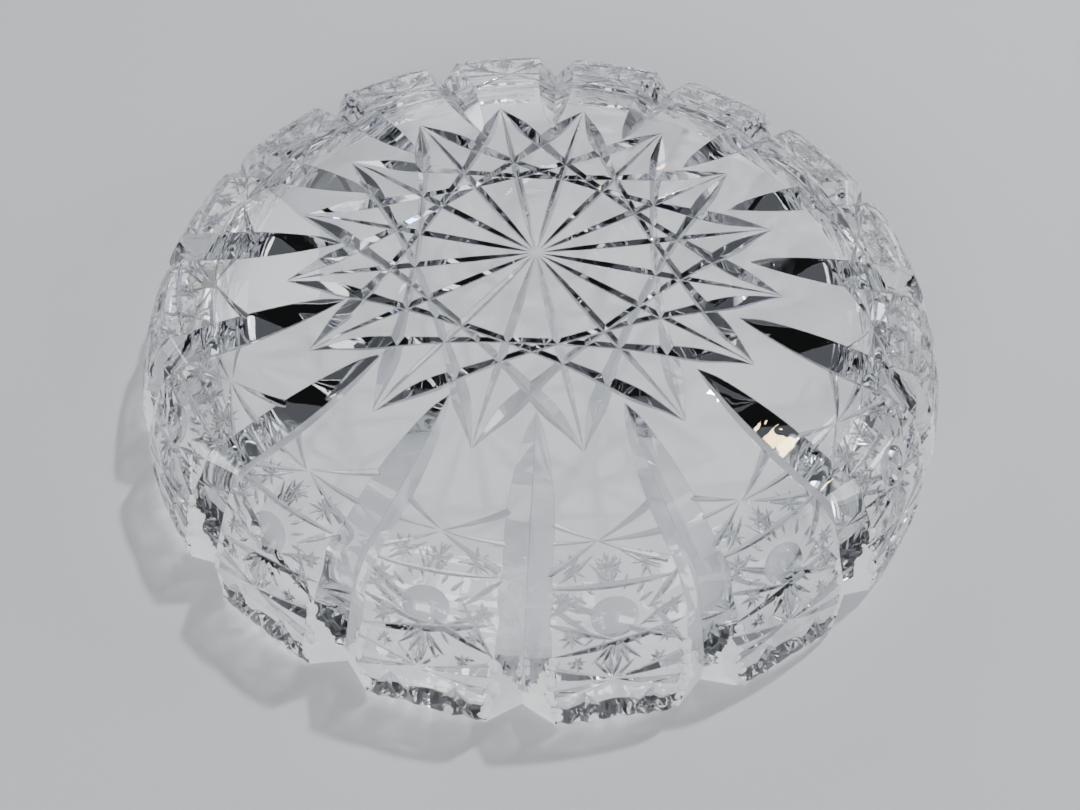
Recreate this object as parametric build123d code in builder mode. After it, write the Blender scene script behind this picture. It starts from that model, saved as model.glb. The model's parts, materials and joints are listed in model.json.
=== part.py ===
from build123d import *
from math import asin, cos, degrees, radians, sin, tan
import os

os.makedirs("parts", exist_ok=True)

# A low bowl of cut lead crystal, stored mouth down so that the star ground
# into its base faces up.  Millimetres, +Z up, origin on the axis at the rim.

# ---- blank, before any cutting ------------------------------------------------
RIM_RADIUS = 101.5
HEIGHT = 35.4
FOOT_RADIUS = 53.0  # flat disc of the base
SHOULDER_RADIUS = 89.4  # where the gently sloping underside meets the wall
SHOULDER_Z = 31.2
WALL_MIDDLE = (98.4, 15.0)  # the rounded wall passes through this point
RIM_WALL = 8.6
CAVITY_TOP_Z = 26.0
CAVITY_RADIUS = 86.0
CAVITY_FILLET = 22.0

# ---- repeat ---------------------------------------------------------------------
COUNT = 16
FIRST_FLUTE = -90.0  # degrees, one flute runs straight to the front
FIRST_PANEL = FIRST_FLUTE + 180.0 / COUNT

# ---- flutes between the panels ----------------------------------------------------
FLUTE_START_RADIUS = 48.4
FLUTE_ENTRY_FALL = 22.0  # this and the two other falls are degrees below the horizontal
FLUTE_ENTRY_RADIUS = 110.0  # of the wheel, which leaves a hollow run in
FLUTE_RUN_FALL = 5.0
FLUTE_RUN_LENGTH = 4.0
FLUTE_BEND_RADIUS = 6.0
FLUTE_WALL_FALL = 66.0
FLUTE_OPENING = 95.0  # included angle of the V
FLUTE_REACH = 9.0

# ---- ground gates where the flutes leave the rim --------------------------------------
GATE_TOP = (96.6, 21.0)
GATE_FOOT_RADIUS = 97.2
GATE_OPENING = 120.0
GATE_REACH = 9.0

# ---- star in the base ---------------------------------------------------------------------
STAR_RADIUS = 59.0
STAR_TIP_Z = 34.6  # the sloping underside comes down to the mitre bottoms at the tips
STAR_OPENING = 98.0
SPLIT_START = (1.0, 35.2)  # radius and height of the bottom of each radial mitre
SPLIT_MIDDLE = (30.0, 34.3)
SPLIT_REACH = 1.6
CHORD_STEP = 5  # each tip is joined to the fifth tip round from it
CHORD_BOW = 4.5  # the chords bow this far towards the centre

# ---- cutting of one panel ----------------------------------------------------------------------
MITRE_OPENING = 98.0
WEDGE_OPENING = 128.0  # the lower star has broad, shallow arms
UPPER_STAR_RADIUS = 78.5
UPPER_STAR_ARMS = (27.0, -1.0, -24.0, 154.0, 181.0, 211.0)  # degrees, anticlockwise from the right
UPPER_STAR_PITCH = 3.4  # degrees each arm dives away from the star's centre
LOWER_STAR_Z = 15.2
LOWER_STAR_ARMS = (9.0, -15.0, 171.0, 196.0)
LOWER_STAR_PITCH = 4.5
ARM_LENGTH = 14.0
LATTICE_Z = 24.4
LATTICE_TURNS = (13.0, -27.0)
LATTICE_DEPTH = 1.0
LATTICE_REACH = 14.0
BULLSEYE_Z = 27.6
BULLSEYE_WIDTH = 11.0
BULLSEYE_DEPTH = 1.2

# ---- rim ---------------------------------------------------------------------------------------
BAY_WIDTH = 10.0  # shallow arch in the rim under the middle of each panel
BAY_RISE = 1.5

CLEAR = 40.0  # cutters reach at least this far outside the glass
VEE_HEIGHT = 6.0

WALL_ARC = ThreePointArc((RIM_RADIUS, 0), WALL_MIDDLE, (SHOULDER_RADIUS, SHOULDER_Z))


def vee(opening):
    """Corners of a V-wheel's section: its edge is at the origin, and it opens along +Y."""
    half_width = VEE_HEIGHT * tan(radians(opening / 2))
    return (0, 0), (half_width, VEE_HEIGHT), (-half_width, VEE_HEIGHT)


def underside_frame(radius):
    """Point and outward normal of the sloping underside, in the XZ plane."""
    fall = (HEIGHT - SHOULDER_Z) / (SHOULDER_RADIUS - FOOT_RADIUS)
    point = Vector(radius, 0, HEIGHT - (radius - FOOT_RADIUS) * fall)
    return point, Vector(fall, 0, 1).normalized()


def wall_frame(z):
    """Point and outward normal of the rounded wall, in the XZ plane."""
    reach = (WALL_ARC.radius**2 - (z - WALL_ARC.arc_center.Y) ** 2) ** 0.5
    point = Vector(WALL_ARC.arc_center.X + reach, 0, z)
    return point, Vector(reach, 0, z - WALL_ARC.arc_center.Y).normalized()


def mitre_plane(frame, turn, depth=0.0, pitch=0.0):
    """Plane across a mitre that runs at `turn` degrees from the horizontal over the surface."""
    point, normal = frame
    uphill = Vector(-normal.Z, 0, normal.X)
    run = Vector(0, 1, 0) * cos(radians(turn)) + uphill * sin(radians(turn))
    dive = run * cos(radians(pitch)) - normal * sin(radians(pitch))
    lift = normal * cos(radians(pitch)) + run * sin(radians(pitch))
    return Plane(origin=point - normal * depth, x_dir=lift.cross(dive), z_dir=dive)


# ---- V-wheel path of a flute: off the star, round the shoulder, down to the rim ------------
with BuildPart() as flute_cutter:
    with BuildSketch(Plane.XZ):
        with BuildLine():
            flute_start = Vector(FLUTE_START_RADIUS, HEIGHT)
            into_glass = Vector(cos(radians(FLUTE_ENTRY_FALL)), -sin(radians(FLUTE_ENTRY_FALL)))
            entry = JernArc(flute_start, into_glass, FLUTE_ENTRY_RADIUS, FLUTE_ENTRY_FALL - FLUTE_RUN_FALL)
            run = PolarLine(entry @ 1, FLUTE_RUN_LENGTH, -FLUTE_RUN_FALL)
            bend = JernArc(run @ 1, run % 1, FLUTE_BEND_RADIUS, FLUTE_RUN_FALL - FLUTE_WALL_FALL)
            run_out = PolarLine(bend @ 1, CLEAR, -FLUTE_WALL_FALL)
            outside = Line(run_out @ 1, run_out @ 1 + Vector(CLEAR, 0))
            above = Line(outside @ 1, (RIM_RADIUS + CLEAR, HEIGHT + CLEAR))
            back = PolarLine(entry @ 0, CLEAR, 180 - FLUTE_ENTRY_FALL)
            inside = Line(back @ 1, above @ 1)
        make_face()
    extrude(amount=FLUTE_REACH, both=True, taper=90 - FLUTE_OPENING / 2)

# ---- wider, flatter V that grinds the panel corners back beside each notch -----------------
with BuildPart() as gate_cutter:
    with BuildSketch(Plane.XZ):
        with BuildLine():
            gate_top = Vector(*GATE_TOP)
            gate_foot = Vector(GATE_FOOT_RADIUS, 0)
            gate_run = (gate_foot - gate_top).normalized()
            gate_wall = Line(gate_top - gate_run * CLEAR, gate_foot + gate_run * CLEAR)
            gate_base = Line(gate_wall @ 1, gate_wall @ 1 + Vector(2 * CLEAR, 0))
            gate_back = Line(gate_base @ 1, gate_wall @ 0 + Vector(2 * CLEAR, 0))
            Line(gate_back @ 1, gate_wall @ 0)
        make_face()
    extrude(amount=GATE_REACH, both=True, taper=90 - GATE_OPENING / 2)

# ---- radial mitre of the star, a fine point at the centre and at the tip ---------------------
with BuildPart() as split_cutter:
    with BuildSketch(Plane.XZ):
        with BuildLine():
            split_in = Line(SPLIT_START, SPLIT_MIDDLE)
            split_out = Line(split_in @ 1, (STAR_RADIUS, STAR_TIP_Z))
            split_end = Line(split_out @ 1, split_out @ 1 + Vector(0, VEE_HEIGHT))
            split_top = Line(split_end @ 1, split_in @ 0 + Vector(0, VEE_HEIGHT))
            Line(split_top @ 1, split_in @ 0)
        make_face()
    extrude(amount=SPLIT_REACH, both=True, taper=90 - STAR_OPENING / 2)

# ---- bowed mitre that joins two tips of the star ----------------------------------------------
half_angle = radians(180.0 * CHORD_STEP / COUNT)
half_chord = STAR_RADIUS * sin(half_angle)
bow_radius = (half_chord**2 + CHORD_BOW**2) / (2 * CHORD_BOW)
chord_middle = STAR_RADIUS * cos(half_angle) - CHORD_BOW
bow_axis = Axis((chord_middle + bow_radius, 0, 0), (0, 0, 1))
bow_arc = degrees(asin(half_chord / bow_radius))
with BuildPart() as chord_cutter:
    with BuildSketch(Plane.XZ.shift_origin((chord_middle, 0, STAR_TIP_Z))) as chord_section:
        Polygon(*vee(STAR_OPENING), align=None)
    revolve(axis=bow_axis, revolution_arc=bow_arc)
    revolve(chord_section.sketch, axis=bow_axis, revolution_arc=-bow_arc)

# ---- everything cut into one panel ---------------------------------------------------------------
with BuildPart() as panel_cutter:
    for turn in UPPER_STAR_ARMS:
        frame = underside_frame(UPPER_STAR_RADIUS)
        with BuildSketch(mitre_plane(frame, turn, pitch=UPPER_STAR_PITCH)):
            Polygon(*vee(MITRE_OPENING), align=None)
        extrude(amount=ARM_LENGTH)
    for turn in LOWER_STAR_ARMS:
        frame = wall_frame(LOWER_STAR_Z)
        with BuildSketch(mitre_plane(frame, turn, pitch=LOWER_STAR_PITCH)):
            Polygon(*vee(WEDGE_OPENING), align=None)
        extrude(amount=ARM_LENGTH)
    for turn in LATTICE_TURNS:
        frame = wall_frame(LATTICE_Z)
        with BuildSketch(mitre_plane(frame, turn, depth=LATTICE_DEPTH)):
            Polygon(*vee(MITRE_OPENING), align=None)
        extrude(amount=LATTICE_REACH, both=True)
    eye_point, eye_normal = wall_frame(BULLSEYE_Z)
    eye_radius = (BULLSEYE_WIDTH**2 / 4 + BULLSEYE_DEPTH**2) / (2 * BULLSEYE_DEPTH)
    with Locations(eye_point + eye_normal * (eye_radius - BULLSEYE_DEPTH)):
        Sphere(eye_radius)
    bay_radius = (BAY_WIDTH**2 / 4 + BAY_RISE**2) / (2 * BAY_RISE)
    with BuildSketch(Plane.YZ.offset(RIM_RADIUS)):
        with Locations((0, BAY_RISE - bay_radius)):
            Circle(bay_radius)
    extrude(amount=2 * RIM_WALL, both=True)

# ---- the bowl ---------------------------------------------------------------------------------------
with BuildPart() as cut_glass_bowl:
    with BuildSketch(Plane.XZ) as blank_outline:
        with BuildLine():
            foot = Line((0, HEIGHT), (FOOT_RADIUS, HEIGHT))
            underside = Line(foot @ 1, (SHOULDER_RADIUS, SHOULDER_Z))
            wall = ThreePointArc(underside @ 1, WALL_MIDDLE, (RIM_RADIUS, 0))
            rim = Line(wall @ 1, (RIM_RADIUS - RIM_WALL, 0))
            lining = Line(rim @ 1, (CAVITY_RADIUS, CAVITY_TOP_Z))
            ceiling = Line(lining @ 1, (0, CAVITY_TOP_Z))
            Line(ceiling @ 1, foot @ 0)
        make_face()
        cavity_corner = blank_outline.vertices().sort_by_distance((CAVITY_RADIUS, CAVITY_TOP_Z))[0]
        fillet(cavity_corner, CAVITY_FILLET)
    revolve(axis=Axis.Z)
    with PolarLocations(0, COUNT, FIRST_PANEL):
        add(panel_cutter.part, mode=Mode.SUBTRACT)
    with PolarLocations(0, COUNT, FIRST_FLUTE):
        add(flute_cutter.part, mode=Mode.SUBTRACT)
    with PolarLocations(0, COUNT, FIRST_FLUTE):
        add(gate_cutter.part, mode=Mode.SUBTRACT)
    with PolarLocations(0, COUNT, FIRST_PANEL):
        add(split_cutter.part, mode=Mode.SUBTRACT)
    with PolarLocations(0, COUNT, FIRST_PANEL + 180.0 * CHORD_STEP / COUNT):
        add(chord_cutter.part, mode=Mode.SUBTRACT)
cut_glass_bowl.part.label = "cut_glass_bowl"
export_step(cut_glass_bowl.part, "parts/cut_glass_bowl.step")
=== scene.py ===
import json
from math import asin, atan2, cos, hypot, pi, radians, sin, tan

import bmesh
import bpy
import numpy as np
from mathutils import Matrix, Vector

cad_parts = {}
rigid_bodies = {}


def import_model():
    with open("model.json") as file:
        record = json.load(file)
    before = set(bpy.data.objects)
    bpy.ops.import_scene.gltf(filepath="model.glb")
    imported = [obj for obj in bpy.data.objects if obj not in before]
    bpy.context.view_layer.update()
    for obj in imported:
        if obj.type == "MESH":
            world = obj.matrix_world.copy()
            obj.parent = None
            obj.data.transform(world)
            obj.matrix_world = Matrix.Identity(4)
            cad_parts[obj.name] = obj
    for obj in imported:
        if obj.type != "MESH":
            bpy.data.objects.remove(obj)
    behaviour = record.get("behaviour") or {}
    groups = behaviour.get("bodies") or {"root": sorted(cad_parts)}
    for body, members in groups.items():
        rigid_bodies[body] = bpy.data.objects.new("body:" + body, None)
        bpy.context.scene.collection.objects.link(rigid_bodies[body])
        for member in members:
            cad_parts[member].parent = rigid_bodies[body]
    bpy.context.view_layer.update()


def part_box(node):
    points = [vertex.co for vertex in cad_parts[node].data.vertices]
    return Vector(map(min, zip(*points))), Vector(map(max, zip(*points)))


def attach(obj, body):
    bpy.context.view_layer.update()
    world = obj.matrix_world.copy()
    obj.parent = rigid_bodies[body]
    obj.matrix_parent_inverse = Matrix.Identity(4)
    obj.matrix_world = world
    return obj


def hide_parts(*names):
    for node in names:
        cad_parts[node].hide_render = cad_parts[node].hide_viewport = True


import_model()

# ------------------------------------------------------------------ sizes, mm
MM = 0.001
NODE = "cut_glass_bowl"
low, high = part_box(NODE)
HEIGHT = (high.z - low.z) / MM
RIM_RADIUS = 101.5
WALL_CENTRE = (45.5, -3.8)  # centre of the rounded wall, radius and height
WALL_BEND = hypot(RIM_RADIUS - WALL_CENTRE[0], WALL_CENTRE[1])
SHOULDER = (89.4, 31.2)
SHOULDER_ROUND = 2.5
FOOT_RADIUS = 53.0
FOOT_ROUND = 2.0
RIM_WALL = 8.6
RIM_ROUND = 1.4
CAVITY_RADIUS = 86.0
CAVITY_TOP = 26.0
CAVITY_ROUND = 22.0

COUNT = 16
STEP = 2 * pi / COUNT
FRONT = -pi / 2
AROUND = 24 * COUNT  # segments round the blank

FLUTE_START = 48.4
FLUTE_ENTRY_FALL = radians(22.0)
FLUTE_ENTRY = 110.0  # radius of the hollow run in
FLUTE_FALL = radians(5.0)
FLUTE_RUN = 4.0
FLUTE_BEND = 6.0
FLUTE_WALL_FALL = radians(66.0)
FLUTE_OPENING = radians(95)
GATE_TOP = (96.6, 21.0)
GATE_FOOT = 97.2
GATE_OPENING = radians(120)

STAR_RADIUS = 59.0
STAR_OPENING = radians(96)
STAR_SHIFT = (-2.3, -0.2)  # the star was ground a little off the axis
STAR_TURN = radians(1.0)
CHORD_STEP = 5
CHORD_BOW = 4.5
CHORD_DEPTH = 0.85
CHORD_SWELL = 1.0  # the chords are cut this much deeper where they near the tips
CHORD_SWELL_AT = 0.27  # share of the way from a tip to the chord's middle
CHORD_SWELL_SPAN = 0.2
SPLIT_DEPTH = 0.95
SPLIT_START = 0.8  # radius where the sixteen radial mitres begin
TAPER = 0.02  # the ends of a mitre rise this far clear of the skin

# ------------------------------------------------------------------ the blank's outline


def arc(centre, radius, start, end, count):
    angles = np.linspace(start, end, count)
    return np.c_[centre[0] + radius * np.cos(angles), centre[1] + radius * np.sin(angles)]


def rounded(points, index, size, count=9):
    """The polyline with a smooth bend of about `size` in place of one of its corners."""
    points = np.asarray(points, float)
    corner = points[index]
    before = points[:index]
    after = points[index + 1 :]
    start = corner + (before[-1] - corner) * min(1, size / np.linalg.norm(before[-1] - corner))
    end = corner + (after[0] - corner) * min(1, size / np.linalg.norm(after[0] - corner))
    t = np.linspace(0, 1, count)[:, None]
    bend = (1 - t) ** 2 * start + 2 * t * (1 - t) * corner + t**2 * end
    return np.vstack([before, bend, after])


def with_normals(points):
    """Arc length, radius, height and outward normal along an outline that runs rim to axis."""
    step = np.gradient(points, axis=0)
    step /= np.linalg.norm(step, axis=1)[:, None]
    length = np.r_[0, np.cumsum(np.linalg.norm(np.diff(points, axis=0), axis=1))]
    return np.c_[length, points, step[:, 1], -step[:, 0]]


def resampled(points, spacing):
    length = np.r_[0, np.cumsum(np.linalg.norm(np.diff(points, axis=0), axis=1))]
    steps = np.linspace(0, length[-1], int(length[-1] / spacing) + 2)
    return np.c_[np.interp(steps, length, points[:, 0]), np.interp(steps, length, points[:, 1])]


def outside_outline():
    start = atan2(-WALL_CENTRE[1], RIM_RADIUS - WALL_CENTRE[0])
    end = atan2(SHOULDER[1] - WALL_CENTRE[1], SHOULDER[0] - WALL_CENTRE[0])
    wall = arc(WALL_CENTRE, WALL_BEND, start, end, 200)
    slope = np.linspace(wall[-1], (FOOT_RADIUS, HEIGHT), 200)[1:]
    foot = np.linspace((FOOT_RADIUS, HEIGHT), (0, HEIGHT), 200)[1:]
    keep = np.linalg.norm(wall - wall[-1], axis=1) > SHOULDER_ROUND
    outline = np.vstack([wall[keep], wall[-1:], slope[12:], foot])
    outline = rounded(outline, int(keep.sum()), SHOULDER_ROUND, 41)
    corner = int(np.argmin(np.linalg.norm(outline - (FOOT_RADIUS, HEIGHT), axis=1)))
    near = np.abs(np.arange(len(outline)) - corner)
    outline = outline[(near == 0) | (near > 8)]
    corner = int(np.argmin(np.linalg.norm(outline - (FOOT_RADIUS, HEIGHT), axis=1)))
    return rounded(outline, corner, FOOT_ROUND, 21)


OUTSIDE = with_normals(outside_outline())
TOTAL = OUTSIDE[-1, 0]


def skin(s):
    """Radius, height and normal of the uncut outside, at arc length s up from the rim."""
    r, z, nr, nz = (np.interp(s, OUTSIDE[:, 0], OUTSIDE[:, i]) for i in range(1, 5))
    size = np.hypot(nr, nz)
    return r, z, nr / size, nz / size


def skin_at_radius(radius):
    """The same, at a radius inside the shoulder."""
    return skin(np.interp(-radius, -OUTSIDE[:, 1], OUTSIDE[:, 0]))


def inside_outline():
    """From the rim's inner edge to the axis, under the floor."""
    lean = atan2(RIM_RADIUS - RIM_WALL - CAVITY_RADIUS, CAVITY_TOP)
    centre_z = CAVITY_TOP - CAVITY_ROUND
    reach = CAVITY_ROUND / cos(lean)
    centre_r = RIM_RADIUS - RIM_WALL - centre_z * tan(lean) - reach
    bend = arc((centre_r, centre_z), CAVITY_ROUND, lean, pi / 2, 24)
    lining = np.linspace((RIM_RADIUS - RIM_WALL, 0), bend[0], 5)
    ceiling = np.linspace(bend[-1], (0, CAVITY_TOP), 5)[1:]
    return np.vstack([lining[:-1], bend, ceiling])


# ------------------------------------------------------------------ meshes

TAGS = ("outside", "inside", "rim", "flute", "gate", "mitre", "lens")
tag_materials = {tag: bpy.data.materials.new("tag_" + tag) for tag in TAGS}


def make_object(name, points, faces, tag, collection=None):
    mesh = bpy.data.meshes.new(name)
    mesh.from_pydata([tuple(p) for p in points], [], [tuple(f) for f in faces])
    tool = bmesh.new()
    tool.from_mesh(mesh)
    bmesh.ops.recalc_face_normals(tool, faces=tool.faces)
    tool.to_mesh(mesh)
    tool.free()
    mesh.materials.append(tag_materials[tag])
    piece = bpy.data.objects.new(name, mesh)
    (collection or bpy.context.scene.collection).objects.link(piece)
    return piece


def revolve(outlines):
    """Closed mesh of revolution; each outline is (points, tag) and starts where the last ended."""
    points, faces, tags = [], [], []
    rings = []
    for outline, tag in outlines:
        for i, (r, z) in enumerate(outline):
            if rings and i == 0:
                continue
            start = len(points)
            if r < 1e-6:
                points.append((0, 0, z))
                rings.append([start] * AROUND)
            else:
                points += [(r * cos(a), r * sin(a), z) for a in np.arange(AROUND) * 2 * pi / AROUND]
                rings.append(list(range(start, start + AROUND)))
            if len(rings) > 1:
                tags.append(tag)
    if points[rings[0][0]] == points[rings[-1][0]]:
        rings[-1] = rings[0]
    for inner, outer, tag in zip(rings, rings[1:], tags):
        for k in range(AROUND):
            n = (k + 1) % AROUND
            corners = [inner[k], inner[n], outer[n], outer[k]]
            faces.append((list(dict.fromkeys(corners)), tag))
    return points, faces


def build_blank():
    # arc lengths of the rings, which stand closer together round the shoulder and the foot
    s = np.r_[np.linspace(0, 31.0, 24), np.linspace(31.9, 37.0, 9), np.linspace(38, TOTAL - 56, 14)]
    s = np.r_[s, np.linspace(TOTAL - 55.2, TOTAL - 50.6, 6), TOTAL - 40, TOTAL - 20, TOTAL]
    r, z, _, _ = skin(s)
    outside = np.c_[r, z]
    outside[-1, 0] = 0
    inside = inside_outline()
    turn = np.linspace(0, pi / 2, 5)
    edge = RIM_RADIUS - RIM_WALL + RIM_ROUND
    lip = np.c_[edge - RIM_ROUND * np.sin(turn), RIM_ROUND - RIM_ROUND * np.cos(turn)]
    inside = inside[inside[:, 1] > RIM_ROUND * 1.2]
    points, faces = revolve(
        [
            (outside[::-1], "outside"),
            (np.vstack([outside[0], lip[0]]), "rim"),
            (np.vstack([lip, inside]), "inside"),
        ]
    )
    piece = make_object("crystal_bowl", points, [f for f, _ in faces], "outside")
    for tag in TAGS[1:]:
        piece.data.materials.append(tag_materials[tag])
    piece.data.polygons.foreach_set("material_index", [TAGS.index(t) for _, t in faces])
    return piece


# ------------------------------------------------------------------ cutters


def unit(v):
    return v / np.linalg.norm(v, axis=-1, keepdims=True)


def canoe(points, normals, depths, opening, lift=1.0):
    """V-wheel cutter along a path: its edge runs `depths` under the points and it opens outwards."""
    points, normals = np.asarray(points, float), np.asarray(normals, float)
    depths = np.asarray(depths, float)[:, None]
    side = unit(np.cross(normals, np.gradient(points, axis=0)))
    spread = (depths + lift) * tan(opening / 2)
    edge = points - normals * depths
    top = points + normals * lift
    corners = np.stack([edge, top + side * spread, top - side * spread], 1)
    faces = [(0, 2, 1)]
    for i in range(len(points) - 1):
        a = 3 * i
        faces += [(a, a + 1, a + 4, a + 3), (a + 1, a + 2, a + 5, a + 4), (a + 2, a, a + 3, a + 5)]
    a = 3 * (len(points) - 1)
    faces.append((a, a + 1, a + 2))
    return corners.reshape(-1, 3), faces


def turned(points, angle):
    c, s = cos(angle), sin(angle)
    x, y, z = np.asarray(points, float).T
    return np.c_[x * c - y * s, x * s + y * c, z]


cutters = bpy.data.collections.new("cutters")
bpy.context.scene.collection.children.link(cutters)
batch_count = 0


def cut(shapes, tag):
    """One boolean operand out of shapes that don't touch each other."""
    global batch_count
    points, faces = [], []
    for shape_points, shape_faces in shapes:
        start = len(points)
        points += list(shape_points)
        faces += [[start + i for i in face] for face in shape_faces]
    make_object(f"cutter_{batch_count}", points, faces, tag, cutters)
    batch_count += 1


def valley():
    """Path of the flute wheel's edge in the radius and height plane, from the star to the rim."""
    start = np.array([FLUTE_START, HEIGHT])
    dive = np.array([cos(FLUTE_ENTRY_FALL), -sin(FLUTE_ENTRY_FALL)])
    wheel = start + np.array([-dive[1], dive[0]]) * FLUTE_ENTRY
    entry = arc(wheel, FLUTE_ENTRY, -pi / 2 - FLUTE_ENTRY_FALL, -pi / 2 - FLUTE_FALL, 12)
    run = np.array([cos(FLUTE_FALL), -sin(FLUTE_FALL)])
    corner = entry[-1] + run * FLUTE_RUN
    centre = corner - np.array([-run[1], run[0]]) * FLUTE_BEND
    bend = arc(centre, FLUTE_BEND, pi / 2 - FLUTE_FALL, pi / 2 - FLUTE_WALL_FALL, 22)
    drop = np.array([cos(FLUTE_WALL_FALL), -sin(FLUTE_WALL_FALL)])
    return np.vstack([start - dive * 12, entry, bend, bend[-1] + drop * 30])


def meridian_canoe(line, opening, lift, angle):
    step = unit(np.gradient(line, axis=0))
    if len(line) > 3:  # straight runs at both ends keep their own direction
        step[0], step[-1] = unit(line[1] - line[0]), unit(line[-1] - line[-2])
        step[1], step[-2] = step[0], step[-1]
    points = np.c_[line[:, 0], np.zeros(len(line)), line[:, 1]]
    normals = np.c_[-step[:, 1], np.zeros(len(line)), step[:, 0]]
    corners, faces = canoe(points, normals, np.zeros(len(line)), opening, lift)
    return turned(corners, angle), faces


def cut_flutes():
    gate_run = unit(np.array([GATE_FOOT - GATE_TOP[0], -GATE_TOP[1]]))
    gate = np.vstack([np.array(GATE_TOP) - gate_run * 16, np.array([GATE_FOOT, 0]) + gate_run * 8])
    for k in range(COUNT):
        angle = FRONT + k * STEP
        cut([meridian_canoe(valley(), FLUTE_OPENING, 12, angle)], "flute")
        cut([meridian_canoe(gate, GATE_OPENING, 8, angle)], "gate")


# ---- the star


def on_base(along, across):
    """Point and normal of the uncut base at a plan position in the star's own axes."""
    along = np.asarray(along, float)
    across = np.asarray(across, float)
    x = along * cos(STAR_TURN) - across * sin(STAR_TURN) + STAR_SHIFT[0]
    y = along * sin(STAR_TURN) + across * cos(STAR_TURN) + STAR_SHIFT[1]
    radius = np.hypot(x, y)
    _, z, nr, nz = skin_at_radius(radius)
    away = np.maximum(radius, 1e-6)
    return np.c_[x, y, z], np.c_[nr * x / away, nr * y / away, nz]


def cut_star():
    t = np.linspace(0, 1, 13)
    for k in range(COUNT):
        angle = FRONT + (k + 0.5) * STEP
        radius = SPLIT_START + (STAR_RADIUS - SPLIT_START) * t
        depth = SPLIT_DEPTH * np.sin(pi * t**0.75) - TAPER
        cut([canoe(*on_base(radius * cos(angle), radius * sin(angle)), depth, STAR_OPENING)], "mitre")
    half = pi * CHORD_STEP / COUNT
    half_chord = STAR_RADIUS * sin(half)
    bow_radius = (half_chord**2 + CHORD_BOW**2) / (2 * CHORD_BOW)
    centre = STAR_RADIUS * cos(half) - CHORD_BOW + bow_radius
    reach = asin(half_chord / bow_radius)
    for k in range(COUNT):
        angle = FRONT + (k + 0.5) * STEP + half
        around = np.linspace(-reach, reach, 45)
        x = centre - bow_radius * np.cos(around)
        y = bow_radius * np.sin(around)
        from_tip = 1 - np.abs(around) / reach
        swell = np.exp(-(((from_tip - CHORD_SWELL_AT) / CHORD_SWELL_SPAN) ** 2))
        rise = np.sin(pi / 2 * np.minimum(1, from_tip / CHORD_SWELL_AT))
        depth = (CHORD_DEPTH + CHORD_SWELL * swell) * rise - TAPER
        path = on_base(x * cos(angle) - y * sin(angle), x * sin(angle) + y * cos(angle))
        cut([canoe(*path, depth, STAR_OPENING)], "mitre")


# ---- the panels

rng = np.random.default_rng(7)
HAND_TURN = 1.4  # how far hand work strays from the pattern, in degrees
HAND_SHIFT = 0.25  # in mm
HAND_DEPTH = 0.08  # as a share of the depth
MITRE_OPENING = radians(94)
WEDGE_OPENING = radians(128)

# on a panel x runs to the right of its middle and s up the skin from the rim, both in mm
UPPER_STAR = (-2.0, 45.0)
UPPER_ARMS = ((27, 0.95), (-1, 0.75), (-24, 0.8), (154, 0.85), (181, 0.65), (211, 0.95))
UPPER_REACH = 14.2
LOWER_STAR = (-1.4, 14.9)
LOWER_ARMS = ((9, 1.0), (171, 1.0), (-15, 0.7), (196, 0.7))
LOWER_REACH = 14.0
BULLSEYE = (-1.0, 29.6)
BULLSEYE_WIDTH = 9.6
BULLSEYE_DEPTH = 1.6
CROSSING = (-0.8, 24.6)
LONG_MITRES = (
    (-15.5, 35.3, 13.6, 20.6, 0.85),
    (-14.2, 21.3, 13.2, 27.5, 0.8),
    (-15.2, 35.8, 13.8, 37.4, 0.65),
    (-14.5, 30.0, -7.0, 34.6, 0.5),
    (-14.8, 33.0, -5.0, 26.4, 0.55),
    (-15.0, 28.6, -1.0, 25.0, 0.6),
    (3.2, 26.9, 13.0, 31.8, 0.6),
    (5.6, 31.0, 13.4, 37.6, 0.55),
    (6.2, 32.2, 13.2, 19.6, 0.6),
    (-10.5, 36.5, -3.4, 42.6, 0.45),
    (9.5, 37.6, 2.2, 43.4, 0.45),
)
SMALL_STARS = (
    (-8.2, 39.9, 3.3),
    (-0.8, 40.0, 3.0),
    (6.6, 39.8, 3.3),
    (-9.4, 25.6, 2.8),
    (9.0, 24.4, 2.6),
    (-10.6, 33.4, 2.2),
    (10.2, 29.6, 2.2),
    (-8.6, 19.4, 2.0),
    (7.4, 18.6, 2.0),
)
LEAVES = ((-9.5, 74), (-3.6, 112), (3.4, 66), (9.8, 118))


def on_panel(k, x, s):
    """Point and normal of the uncut outside on panel k."""
    s = np.asarray(s, float)
    r, z, nr, nz = skin(s)
    reference = skin(float(np.mean(s)))[0]
    angle = FRONT + (k + 0.5) * STEP + np.asarray(x, float) / reference
    points = np.c_[r * np.cos(angle), r * np.sin(angle), z]
    normals = np.c_[nr * np.cos(angle), nr * np.sin(angle), nz]
    return points, normals


# depth along a mitre, as t runs from 0 at its start to 1 at its end


def lens(t):
    """Deepest in the middle."""
    return 1 - (2 * t - 1) ** 2


def arm(t):
    """Deeper and deeper, up to a blunt end."""
    return t**0.8


def fan(t):
    """Deepest near the start, with a long fine end."""
    return np.minimum(1, 3 * t) * (1 - t) ** 0.6 * 1.2


def mitre(x, s, turn, start, end, depth, shape=lens, opening=MITRE_OPENING, count=7):
    """The same mitre in every panel, each a touch different, as hand work is."""
    shapes = []
    for k in range(COUNT):
        dx, ds, dturn, ddepth = rng.normal(0, 1, 4)
        t = np.linspace(0, 1, count)
        way = radians(turn + dturn * HAND_TURN)
        along = start + (end - start) * t
        across = x + dx * HAND_SHIFT + along * cos(way)
        up = s + ds * HAND_SHIFT + along * sin(way)
        path = on_panel(k, across, up)
        depths = depth * (1 + HAND_DEPTH * ddepth) * shape(t) - TAPER
        shapes.append(canoe(*path, depths, opening, lift=0.6 + depth))
    cut(shapes, "mitre")


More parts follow.
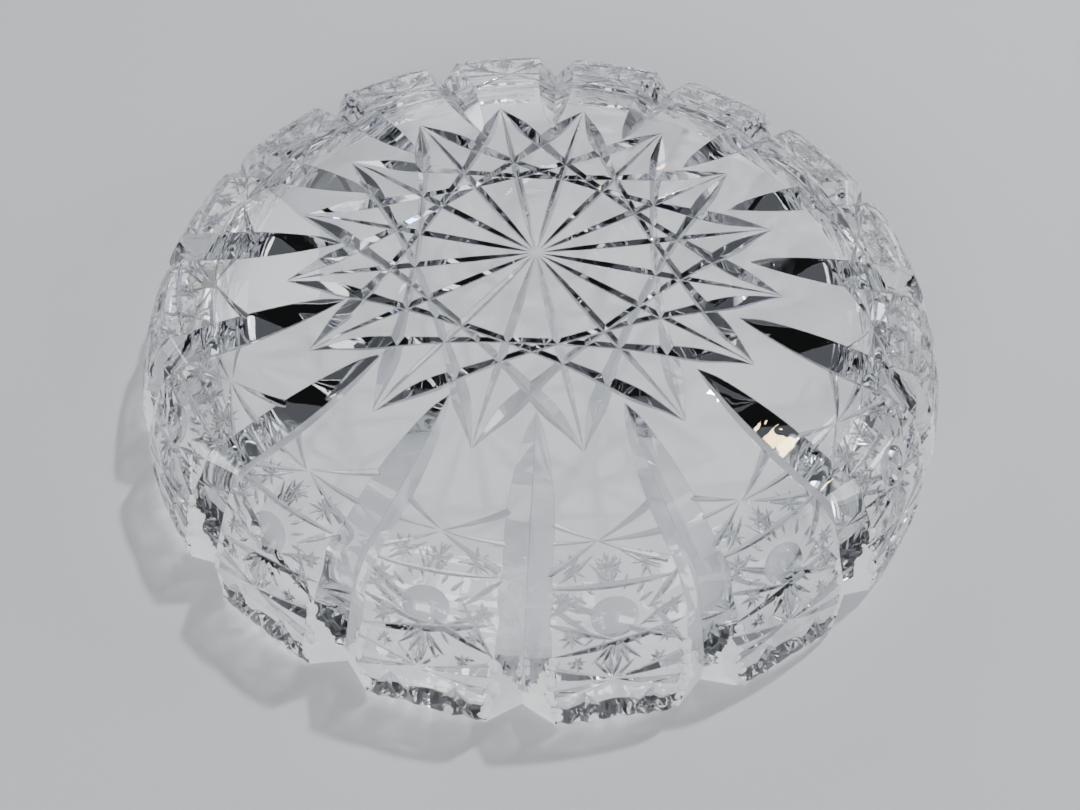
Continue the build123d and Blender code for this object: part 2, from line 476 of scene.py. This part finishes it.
def mitre_between(x0, s0, x1, s1, depth):
    turn = atan2(s1 - s0, x1 - x0) * 180 / pi
    mitre(x0, s0, turn, 0, hypot(x1 - x0, s1 - s0), depth, count=9)


def sphere_cap(point, normal, width, depth):
    """Round wheel that sinks a dished hollow."""
    radius = (width**2 / 4 + depth**2) / (2 * depth)
    tool = bmesh.new()
    bmesh.ops.create_icosphere(tool, subdivisions=4, radius=radius)
    centre = point + normal * (radius - depth)
    points = np.array([v.co for v in tool.verts]) + centre
    faces = [[v.index for v in f.verts] for f in tool.faces]
    tool.free()
    return points, faces


def cut_stars():
    for turn, depth in UPPER_ARMS:
        mitre(*UPPER_STAR, turn, 0, UPPER_REACH, depth, arm)
    for turn, depth in LOWER_ARMS:
        mitre(*LOWER_STAR, turn, 0, LOWER_REACH, depth, arm, WEDGE_OPENING)
    for x, s, reach in SMALL_STARS:
        for turn in (8, 53, 98, 143):
            mitre(x, s, turn, -reach, reach, 0.42)
        for turn in (30, 75, 120, 165):
            mitre(x, s, turn, -0.7 * reach, 0.7 * reach, 0.3)


def cut_fans():
    for turn in (62, 78, 95, 112, 128):
        mitre(-1.2, 35.9, turn, 0.4, 6.0, 0.42, fan)
    for turn in range(0, 360, 20):
        mitre(*BULLSEYE, turn + 6, 5.7, 9.2, 0.42, fan)
    for turn in (228, 248, 270, 292, 312):
        mitre(*CROSSING, turn, 0.4, 7.4, 0.62, fan)
    for turn in (50, 70, 90, 110, 130):
        mitre(*LOWER_STAR, turn, 0.4, 6.4, 0.5, fan)
    for x, turn in LEAVES:
        mitre(x, 2.6, turn, 0, 9.0, 0.85, fan, WEDGE_OPENING)
    for x in (-12.0, -6.4, 0.2, 6.8, 12.2):
        mitre(x, 1.6, 92 - 1.5 * x, 0, 6.0, 0.6, fan)


def cut_panels():
    cut_stars()
    for line in LONG_MITRES:
        mitre_between(*line)
    cut_fans()
    shapes = []
    for k in range(COUNT):
        point, normal = on_panel(k, [BULLSEYE[0]], [BULLSEYE[1]])
        shapes.append(sphere_cap(point[0], normal[0], BULLSEYE_WIDTH, BULLSEYE_DEPTH))
    cut(shapes, "mitre")


# ---- the rim

BAY_WIDTH = 10.0
BAY_RISE = 1.5
BAY_SIDES = 96  # of the round wheel that cuts the bay
BAY_REACH = (84, 108)  # radii between which it runs
NOTCHES = 7  # per panel
NOTCH_PITCH = 3.9
NOTCH_DEPTH = 1.7  # at the outer face, running out before the inner one
NOTCH_RADII = (88, 97, 106)
NOTCH_SHARES = np.array([-0.3, 0.35, 1.0])  # of the depth, at those radii
NOTCH_OPENING = radians(122)
NOTCH_LIFT = 2.6


def cut_rim():
    bay_radius = (BAY_WIDTH**2 / 4 + BAY_RISE**2) / (2 * BAY_RISE)
    n = BAY_SIDES
    angles = np.linspace(0, 2 * pi, n, endpoint=False)
    heights = BAY_RISE - bay_radius + bay_radius * np.sin(angles)
    ring = np.c_[np.zeros(n), bay_radius * np.cos(angles), heights]
    points = np.vstack([ring + (radius, 0, 0) for radius in BAY_REACH])
    faces = [(i, (i + 1) % n, n + (i + 1) % n, n + i) for i in range(n)]
    faces += [tuple(range(n)), tuple(range(n, 2 * n))]
    cut([(turned(points, FRONT + (k + 0.5) * STEP), faces) for k in range(COUNT)], "lens")
    for i in range(NOTCHES):
        x = (i - (NOTCHES - 1) / 2) * NOTCH_PITCH
        # the height of the rim here, which is above 0 under the bay
        lifted = max(0.0, BAY_RISE - bay_radius + max(0.0, bay_radius**2 - x**2) ** 0.5)
        size = NOTCH_DEPTH * (1.0 if i % 3 else 0.6)
        shapes = []
        for k in range(COUNT):
            angle = FRONT + (k + 0.5) * STEP + (x + rng.normal(0, HAND_SHIFT)) / RIM_RADIUS
            points = [(r * cos(angle), r * sin(angle), lifted) for r in NOTCH_RADII]
            depths = size * (1 + rng.normal(0, 0.15)) * NOTCH_SHARES
            shapes.append(canoe(points, [(0, 0, -1)] * 3, depths, NOTCH_OPENING, NOTCH_LIFT))
        cut(shapes, "lens")


# ---- chips along the unpolished feet of the flutes

CHIP_HEIGHTS = (2.4, 5.2, 8.0, 10.8, 13.6, 16.4, 19.2)
CHIP_SIZE = 1.5
CHIP_OFFSET = 0.2  # out from the edge of the flute
WALL_ROWS = 200  # rows of OUTSIDE that are sure to hold the wall, where height only rises


def flute_half_width(r, z):
    """How far the edge of a flute, or of its gate near the rim, stands from its middle."""
    line = valley()
    drop = unit(line[-1] - line[-2])
    above = (r - line[-1][0]) * -drop[1] + (z - line[-1][1]) * drop[0]
    gate_lean = (GATE_FOOT - GATE_TOP[0]) / GATE_TOP[1]
    gate_depth = r - GATE_FOOT + gate_lean * z
    return max(above * tan(FLUTE_OPENING / 2), gate_depth * tan(GATE_OPENING / 2))


def ragged(point, axes, sizes):
    """A rough lump, squashed along the given axes."""
    tool = bmesh.new()
    bmesh.ops.create_icosphere(tool, subdivisions=2, radius=1)
    lump = np.array([v.co for v in tool.verts])
    faces = [[v.index for v in f.verts] for f in tool.faces]
    tool.free()
    lump *= 1 + rng.normal(0, 0.09, (len(lump), 1))
    return point + (lump * sizes) @ np.array(axes), faces


def cut_chips():
    for side in (-1, 1):
        for height in CHIP_HEIGHTS:
            shapes = []
            for k in range(COUNT):
                z = height + rng.normal(0, 0.5)
                s = np.interp(z, OUTSIDE[:WALL_ROWS, 2], OUTSIDE[:WALL_ROWS, 0])
                r, z, nr, nz = (float(v) for v in skin(s))
                angle = FRONT + k * STEP + side * (flute_half_width(r, z) + CHIP_OFFSET) / r
                out = np.array([nr * cos(angle), nr * sin(angle), nz])
                round_way = np.array([-sin(angle), cos(angle), 0])
                up = np.cross(out, round_way)
                shares = [rng.uniform(0.45, 0.6), rng.uniform(0.7, 1.2), rng.uniform(0.8, 1.2)]
                sizes = CHIP_SIZE * np.array(shares)  # into the glass, round the rim, up the wall
                point = np.array([r * cos(angle), r * sin(angle), z])
                shapes.append(ragged(point, (out, round_way, up), sizes))
            cut(shapes, "gate")


# ------------------------------------------------------------------ cutting and shading normals


def carve(piece):
    """Cuts everything into the blank and leaves plain mesh data, still in mm."""
    modifier = piece.modifiers.new("wheels", "BOOLEAN")
    modifier.operation = "DIFFERENCE"
    modifier.solver = "MANIFOLD"
    modifier.operand_type = "COLLECTION"
    modifier.collection = cutters
    graph = bpy.context.evaluated_depsgraph_get()
    mesh = bpy.data.meshes.new_from_object(piece.evaluated_get(graph))
    piece.modifiers.clear()
    piece.data = mesh
    for tool in list(cutters.objects):
        bpy.data.objects.remove(tool)
    bpy.data.collections.remove(cutters)


SHARP = radians(14)
FINISHES = {
    "outside": "polished",
    "inside": "polished",
    "rim": "polished",
    "flute": "fluted",
    "gate": "ground",
    "mitre": "cut",
    "lens": "polished",
}


def outline_normals(points, outline):
    """Outward normals of a surface of revolution at points on or near it."""
    radius = np.hypot(points[:, 0], points[:, 1])
    gaps = (outline[None, :, 1] - radius[:, None]) ** 2 + (outline[None, :, 2] - points[:, 2:3]) ** 2
    nearest = outline[np.argmin(gaps, axis=1)]
    away = np.maximum(radius, 1e-6)
    return np.c_[nearest[:, 3] * points[:, 0] / away, nearest[:, 3] * points[:, 1] / away, nearest[:, 4]]


def flute_normals(points, face_normals):
    """Normals of the flutes' two flanks, which turn with the wheel's path round the shoulder."""
    line = valley()
    dense = resampled(line, 0.25)
    step = unit(np.gradient(dense, axis=0))
    up = np.c_[-step[:, 1], step[:, 0]]
    angle = np.arctan2(points[:, 1], points[:, 0])
    nearest = np.round((angle - FRONT) / STEP) * STEP + FRONT
    radial = points[:, 0] * np.cos(nearest) + points[:, 1] * np.sin(nearest)
    across = -points[:, 0] * np.sin(nearest) + points[:, 1] * np.cos(nearest)
    # the point of the path whose normal plane holds each point
    offsets = np.stack([radial, points[:, 2]], 1)[:, None, :] - dense[None]
    along = np.abs((offsets * step[None]).sum(2))
    above = (offsets * up[None]).sum(2)
    along[above < -0.2] = 1e9
    pick = np.argmin(along, axis=1)
    tilt = FLUTE_OPENING / 2
    sideways = -np.sign(across) * cos(tilt)
    normal_r, normal_z = up[pick, 0] * sin(tilt), up[pick, 1] * sin(tilt)
    found = np.c_[
        normal_r * np.cos(nearest) - sideways * np.sin(nearest),
        normal_r * np.sin(nearest) + sideways * np.cos(nearest),
        normal_z,
    ]
    agree = (found * face_normals).sum(1) > cos(radians(8))
    return np.where(agree[:, None], found, face_normals)


def in_slices(function, *arrays, size=20000):
    parts = [function(*(a[i : i + size] for a in arrays)) for i in range(0, len(arrays[0]), size)]
    return np.vstack(parts)


def set_normals(mesh):
    """Exact normals on the turned and fluted surfaces, crisp arrises everywhere else."""
    names = [m.name.removeprefix("tag_") for m in mesh.materials]
    mesh.polygons.foreach_set("use_smooth", [True] * len(mesh.polygons))
    mesh.set_sharp_from_angle(angle=SHARP)
    corners = np.zeros(len(mesh.loops) * 3)
    mesh.corner_normals.foreach_get("vector", corners)
    corners = corners.reshape(-1, 3)
    points = np.zeros(len(mesh.vertices) * 3)
    mesh.vertices.foreach_get("co", points)
    points = points.reshape(-1, 3)
    vertex = np.zeros(len(mesh.loops), int)
    mesh.loops.foreach_get("vertex_index", vertex)
    tags = np.zeros(len(mesh.polygons), int)
    mesh.polygons.foreach_get("material_index", tags)
    totals = np.zeros(len(mesh.polygons), int)
    mesh.polygons.foreach_get("loop_total", totals)
    face_normals = np.zeros(len(mesh.polygons) * 3)
    mesh.polygons.foreach_get("normal", face_normals)
    face_of = np.repeat(np.arange(len(mesh.polygons)), totals)
    flat = face_normals.reshape(-1, 3)[face_of]
    tag_of = np.array(names)[tags][face_of]
    exact = {
        "outside": lambda p, n: outline_normals(p, OUTSIDE),
        "inside": lambda p, n: -outline_normals(p, with_normals(resampled(inside_outline(), 0.4))),
        "flute": flute_normals,
    }
    for tag, function in exact.items():
        chosen = tag_of == tag
        found = in_slices(function, points[vertex[chosen]], flat[chosen])
        sure = (found * flat[chosen]).sum(1) > cos(radians(12))
        corners[chosen] = np.where(sure[:, None], found, corners[chosen])
    plain = np.isin(tag_of, ["rim", "gate"])
    corners[plain] = flat[plain]
    mesh.normals_split_custom_set([tuple(n) for n in unit(corners)])


def finish_slots(mesh, finishes):
    names = [m.name.removeprefix("tag_") for m in mesh.materials]
    order = list(finishes)
    tags = np.zeros(len(mesh.polygons), int)
    mesh.polygons.foreach_get("material_index", tags)
    slots = np.array([order.index(FINISHES[n]) for n in names])
    mesh.materials.clear()
    for material in finishes.values():
        mesh.materials.append(material)
    mesh.polygons.foreach_set("material_index", slots[tags])
    mesh.update()


# ------------------------------------------------------------------ materials

CRYSTAL_IOR = 1.57
POLISHED_TINT = (0.985, 0.99, 0.992, 1)
# the fluted and cut faces carry painted shade: base colours darker than clear glass, so the cuts show
# dark against the pale floor
FLUTE_PAINTED_SHADE = (0.57, 0.59, 0.62, 1)
MITRE_PAINTED_SHADE = (0.46, 0.48, 0.51, 1)
# painted shade along the arrises: a darker base colour in a thin line at every edge
ARRIS_PAINTED_SHADE = (0.22, 0.23, 0.25, 1)
GROUND_TINT = (0.94, 0.945, 0.95, 1)
ARRIS_RADIUS = 0.0003
BLOOM_FOOT = 0.0045  # the bloom's height in the valley of a flute
BLOOM_SLOPE = 2.6  # and how much higher it comes for each metre towards the flute's edge
BLOOM_STRAY = 0.003
GROUND_GLOW = 0.45
GRAIN_SCALE = 420  # of the noises in the ground glass, per metre
CLOUD_SCALE = 110
POLISHED = {
    "tint": POLISHED_TINT,
    "straight_share": 0.9,
    "slanting_share": 0.55,
    "waviness": 0.25,
    "wave_size": 0.02,
}
FLUTED = {
    "tint": FLUTE_PAINTED_SHADE,
    "straight_share": 0.5,
    "slanting_share": 0.35,
    "waviness": 0.2,
    "wave_size": 0.006,
}
CUT = {
    "tint": MITRE_PAINTED_SHADE,
    "straight_share": 0.35,
    "slanting_share": 0.2,
    "waviness": 0.12,
    "wave_size": 0.003,
}


def node_tree(name):
    material = bpy.data.materials.new(name)
    material.use_nodes = True
    material.node_tree.nodes.clear()
    return material, material.node_tree


def set_inputs(node, **values):
    """Constant socket values, with underscores for the spaces in socket names."""
    for name, value in values.items():
        node.inputs[name.replace("_", " ")].default_value = value


def noise(tree, scale, detail):
    place = tree.nodes.new("ShaderNodeTexCoord")
    texture = tree.nodes.new("ShaderNodeTexNoise")
    set_inputs(texture, Scale=scale, Detail=detail)
    tree.links.new(place.outputs["Object"], texture.inputs["Vector"])
    return texture


def bumped(tree, shader, height, strength, distance):
    bump = tree.nodes.new("ShaderNodeBump")
    set_inputs(bump, Strength=strength, Distance=distance)
    tree.links.new(height, bump.inputs["Height"])
    tree.links.new(bump.outputs["Normal"], shader.inputs["Normal"])
    return bump


def map_range(tree, source, low_in, high_in, low_out, high_out):
    node = tree.nodes.new("ShaderNodeMapRange")
    set_inputs(node, From_Min=low_in, From_Max=high_in, To_Min=low_out, To_Max=high_out)
    tree.links.new(source, node.inputs["Value"])
    return node.outputs["Result"]


def calculated(tree, operation, first, second=None):
    node = tree.nodes.new("ShaderNodeMath")
    node.operation = operation
    tree.links.new(first, node.inputs[0])
    if isinstance(second, (int, float)):
        node.inputs[1].default_value = second
    elif second is not None:
        tree.links.new(second, node.inputs[1])
    return node.outputs["Value"]


def polished_surface(tree, tint, waviness, wave_size):
    """Clear glass with faint waves from the polishing and soft rounded arrises, along which painted
    shade darkens the base colour.
    """
    glass = tree.nodes.new("ShaderNodeBsdfPrincipled")
    set_inputs(glass, Roughness=0.0, IOR=CRYSTAL_IOR, Transmission_Weight=1.0)
    waves = noise(tree, 1 / wave_size, 2)
    arrises = tree.nodes.new("ShaderNodeBevel")
    arrises.samples = 6
    set_inputs(arrises, Radius=ARRIS_RADIUS)
    bump = bumped(tree, glass, waves.outputs["Fac"], waviness, 0.0002)
    tree.links.new(arrises.outputs["Normal"], bump.inputs["Normal"])
    facet = tree.nodes.new("ShaderNodeNewGeometry")
    agreement = tree.nodes.new("ShaderNodeVectorMath")
    agreement.operation = "DOT_PRODUCT"
    tree.links.new(arrises.outputs["Normal"], agreement.inputs[0])
    tree.links.new(facet.outputs["Normal"], agreement.inputs[1])
    # painted shade: the base colour turns darker where the bevel's rounded normal leaves the face's own
    arris_shade_mask = map_range(tree, agreement.outputs["Value"], 0.99, 0.93, 0.0, 1.0)
    colour = tree.nodes.new("ShaderNodeMix")
    colour.data_type = "RGBA"
    colour.inputs["A"].default_value = tint
    set_inputs(colour, B=ARRIS_PAINTED_SHADE)
    tree.links.new(arris_shade_mask, colour.inputs["Factor"])
    tree.links.new(colour.outputs["Result"], glass.inputs["Base Color"])
    return glass.outputs["BSDF"]


def ground_surface(tree):
    """The unpolished bloom left by the stone, denser in some places than in others."""
    glass = tree.nodes.new("ShaderNodeBsdfPrincipled")
    set_inputs(glass, Base_Color=GROUND_TINT, IOR=CRYSTAL_IOR)
    glow = tree.nodes.new("ShaderNodeBsdfTranslucent")
    set_inputs(glow, Color=GROUND_TINT)
    mix = tree.nodes.new("ShaderNodeMixShader")
    set_inputs(mix, Fac=GROUND_GLOW)
    grain = noise(tree, GRAIN_SCALE, 6)
    cloud = noise(tree, CLOUD_SCALE, 4)
    haze = map_range(tree, cloud.outputs["Fac"], 0.35, 0.6, 0.3, 0.0)
    rough = map_range(tree, grain.outputs["Fac"], 0.3, 0.7, 0.3, 0.6)
    tree.links.new(haze, glass.inputs["Transmission Weight"])
    tree.links.new(rough, glass.inputs["Roughness"])
    bumped(tree, glass, grain.outputs["Fac"], 0.9, 0.0004)
    tree.links.new(glass.outputs["BSDF"], mix.inputs[1])
    tree.links.new(glow.outputs["BSDF"], mix.inputs[2])
    return mix.outputs["Shader"]


def bloom_share(tree):
    """1 where the foot of a flute was left unpolished, higher up towards its edges."""
    place = tree.nodes.new("ShaderNodeTexCoord")
    split = tree.nodes.new("ShaderNodeSeparateXYZ")
    tree.links.new(place.outputs["Object"], split.inputs["Vector"])
    azimuth = calculated(tree, "ARCTAN2", split.outputs["Y"], split.outputs["X"])
    turns = calculated(tree, "MULTIPLY", calculated(tree, "ADD", azimuth, -FRONT), 1 / STEP)
    nearest = calculated(tree, "ROUND", turns)
    across = calculated(tree, "ABSOLUTE", calculated(tree, "SUBTRACT", turns, nearest))
    across = calculated(tree, "MULTIPLY", across, STEP * RIM_RADIUS * MM)
    edge = calculated(tree, "ADD", calculated(tree, "MULTIPLY", across, BLOOM_SLOPE), BLOOM_FOOT)
    ragged_edge = noise(tree, 300, 3)
    stray = map_range(tree, ragged_edge.outputs["Fac"], 0.25, 0.75, -BLOOM_STRAY, BLOOM_STRAY)
    height = calculated(tree, "SUBTRACT", edge, split.outputs["Z"])
    return map_range(tree, calculated(tree, "ADD", height, stray), -0.0002, 0.0002, 0.0, 1.0)


def crystal(name, tint, straight_share, slanting_share, waviness, wave_size, bloom=False):
    """Clear lead crystal, ground at the foot of the flutes if it has a bloom.

    Lamps shine through it: straight_share of their light gets past a face that they strike
    squarely, and slanting_share past one that they graze and that would bend it aside.
    """
    material, tree = node_tree(name)
    new, link = tree.nodes.new, tree.links.new
    # tint is the glass's own faint colour on polished faces, and painted shade on the fluted and cut
    # faces
    surface = polished_surface(tree, tint, waviness, wave_size)
    if bloom:
        patches = new("ShaderNodeMixShader")
        link(bloom_share(tree), patches.inputs["Fac"])
        link(surface, patches.inputs[1])
        link(ground_surface(tree), patches.inputs[2])
        surface = patches.outputs["Shader"]
    slant = new("ShaderNodeLayerWeight")
    set_inputs(slant, Blend=0.5)
    share = map_range(tree, slant.outputs["Facing"], 0.1, 0.7, straight_share, slanting_share)
    clear = new("ShaderNodeBsdfTransparent")
    link(share, clear.inputs["Color"])
    lamp_rays = new("ShaderNodeLightPath")
    mix = new("ShaderNodeMixShader")
    link(lamp_rays.outputs["Is Shadow Ray"], mix.inputs["Fac"])
    link(surface, mix.inputs[1])
    link(clear.outputs["BSDF"], mix.inputs[2])
    output = new("ShaderNodeOutputMaterial")
    link(mix.outputs["Shader"], output.inputs["Surface"])
    return material


def ground_glass():
    material, tree = node_tree("ground_glass")
    output = tree.nodes.new("ShaderNodeOutputMaterial")
    tree.links.new(ground_surface(tree), output.inputs["Surface"])
    return material


# ------------------------------------------------------------------ build

bowl = build_blank()
cut_flutes()
cut_star()
cut_panels()
cut_rim()
cut_chips()
carve(bowl)
set_normals(bowl.data)
finish_slots(
    bowl.data,
    {
        "polished": crystal("polished_crystal", **POLISHED),
        "fluted": crystal("fluted_crystal", **FLUTED, bloom=True),
        "cut": crystal("cut_crystal", **CUT),
        "ground": ground_glass(),
    },
)
bowl.data.transform(Matrix.Scale(MM, 4))
bowl.data.update()
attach(bowl, "root")
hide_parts(NODE)

# ------------------------------------------------------------------ floor, light and camera

FLOOR_TINT = (0.50, 0.51, 0.53, 1)
WORLD_TINT = (0.55, 0.57, 0.60, 1)
ROOM_STRENGTH = 0.28
SCREEN_STRENGTH = 4.5
SCREENS = 8
SCREEN_PHASE = 0.6
SCREEN_EDGE = (0.45, 0.7)  # where the wave round the room turns from wall into screen
SCREEN_FOOT = (0.03, 0.1)  # height over distance where the screens begin and end
SCREEN_TOP = (0.5, 0.62)
LIGHT_AIM = Vector((0, 0, 0.02))
# name, place, size, power and tint of each soft light
LIGHTS = (
    ("window", (-0.75, 0.85, 0.85), (0.5, 0.4), 2, (1.0, 0.98, 0.95)),
    ("key", (0.42, 0.62, 1.1), (0.05, 0.05), 13, (1.0, 1.0, 1.0)),
    ("side", (1.05, 0.1, 0.55), (0.2, 0.3), 2, (0.93, 0.97, 1.0)),
    ("front", (-0.3, -1.3, 0.6), (0.9, 0.5), 14, (1.0, 1.0, 1.0)),
    # small tinted lamps for the coloured glints that crystal shows
    ("blue_glint", (-0.8, 0.55, 0.5), (0.05, 0.05), 0.6, (0.3, 0.5, 1.0)),
    ("amber_glint", (0.75, 0.8, 0.6), (0.05, 0.05), 0.6, (1.0, 0.6, 0.25)),
    ("violet_glint", (0.15, 1.2, 0.35), (0.05, 0.05), 0.6, (0.5, 0.4, 1.0)),
    ("gold_glint", (-0.6, -0.7, 0.8), (0.05, 0.05), 0.6, (1.0, 0.75, 0.35)),
    ("sky_glint", (0.8, -0.6, 0.6), (0.05, 0.05), 0.6, (0.4, 0.7, 1.0)),
)


def soft_light(name, place, size, power, tint):
    light = bpy.data.lights.new(name, "AREA")
    light.shape = "RECTANGLE"
    light.size, light.size_y = size
    light.energy = power
    light.color = tint
    lamp = bpy.data.objects.new(name, light)
    bpy.context.scene.collection.objects.link(lamp)
    lamp.location = place
    lamp.rotation_euler = (LIGHT_AIM - Vector(place)).to_track_quat("-Z", "Y").to_euler()


floor_material, floor_tree = node_tree("pale_floor")
floor_out = floor_tree.nodes.new("ShaderNodeOutputMaterial")
floor_shader = floor_tree.nodes.new("ShaderNodeBsdfPrincipled")
set_inputs(floor_shader, Base_Color=FLOOR_TINT, Roughness=0.7)
floor_tree.links.new(floor_shader.outputs["BSDF"], floor_out.inputs["Surface"])
bpy.ops.mesh.primitive_plane_add(size=6, location=(0, 0, -0.0001))
floor = bpy.context.object
floor.name = "floor"
floor.data.materials.append(floor_material)


def striped_studio():
    """A dark room with a ring of upright pale screens, for the facets to pick up."""
    world = bpy.data.worlds.new("studio")
    bpy.context.scene.world = world
    world.use_nodes = True
    tree = world.node_tree
    background = tree.nodes["Background"]
    set_inputs(background, Color=WORLD_TINT)
    place = tree.nodes.new("ShaderNodeTexCoord")
    split = tree.nodes.new("ShaderNodeSeparateXYZ")
    tree.links.new(place.outputs["Generated"], split.inputs["Vector"])
    way_round = calculated(tree, "ARCTAN2", split.outputs["Y"], split.outputs["X"])
    turns = calculated(tree, "MULTIPLY", way_round, SCREENS)
    wave = calculated(tree, "SINE", calculated(tree, "ADD", turns, SCREEN_PHASE))
    screens = map_range(tree, wave, *SCREEN_EDGE, 0.0, 1.0)
    above = map_range(tree, split.outputs["Z"], *SCREEN_FOOT, 0.0, 1.0)
    below = map_range(tree, split.outputs["Z"], *SCREEN_TOP, 1.0, 0.0)
    lit = calculated(tree, "MULTIPLY", calculated(tree, "MULTIPLY", screens, above), below)
    strength = map_range(tree, lit, 0.0, 1.0, ROOM_STRENGTH, SCREEN_STRENGTH)
    tree.links.new(strength, background.inputs["Strength"])


striped_studio()
for light in LIGHTS:
    soft_light(*light)

# the photograph's camera, solved on the rim, the star and the silhouette, in star radii
UNIT = STAR_RADIUS * MM
CAMERA_PLACE = (-0.0526, -3.0052, 3.3997)
CAMERA_FALL = radians(51.62)
CAMERA_YAW = 0.0109
CAMERA_ROLL = -0.0236
BOWL_TURN = radians(1.84)  # the front flute stands this far round in the photograph
FOCAL = 0.9288  # focal length over image width
SENSOR = 36.0

e = CAMERA_FALL
view = Matrix(((1, 0, 0), (0, sin(e), cos(e)), (0, -cos(e), sin(e))))
yaw = Matrix.Rotation(CAMERA_YAW, 3, "Y")
roll = Matrix.Rotation(CAMERA_ROLL, 3, "Z")
aim = (roll @ yaw @ view).transposed()
stand = Matrix.Rotation(BOWL_TURN, 4, "Z")
camera_data = bpy.data.cameras.new("camera")
camera_data.sensor_width = SENSOR
camera_data.lens = FOCAL * SENSOR
camera_data.clip_start = 0.01
camera = bpy.data.objects.new("camera", camera_data)
bpy.context.scene.collection.objects.link(camera)
camera.matrix_world = stand @ Matrix.Translation([c * UNIT for c in CAMERA_PLACE]) @ aim.to_4x4()
bpy.context.scene.camera = camera
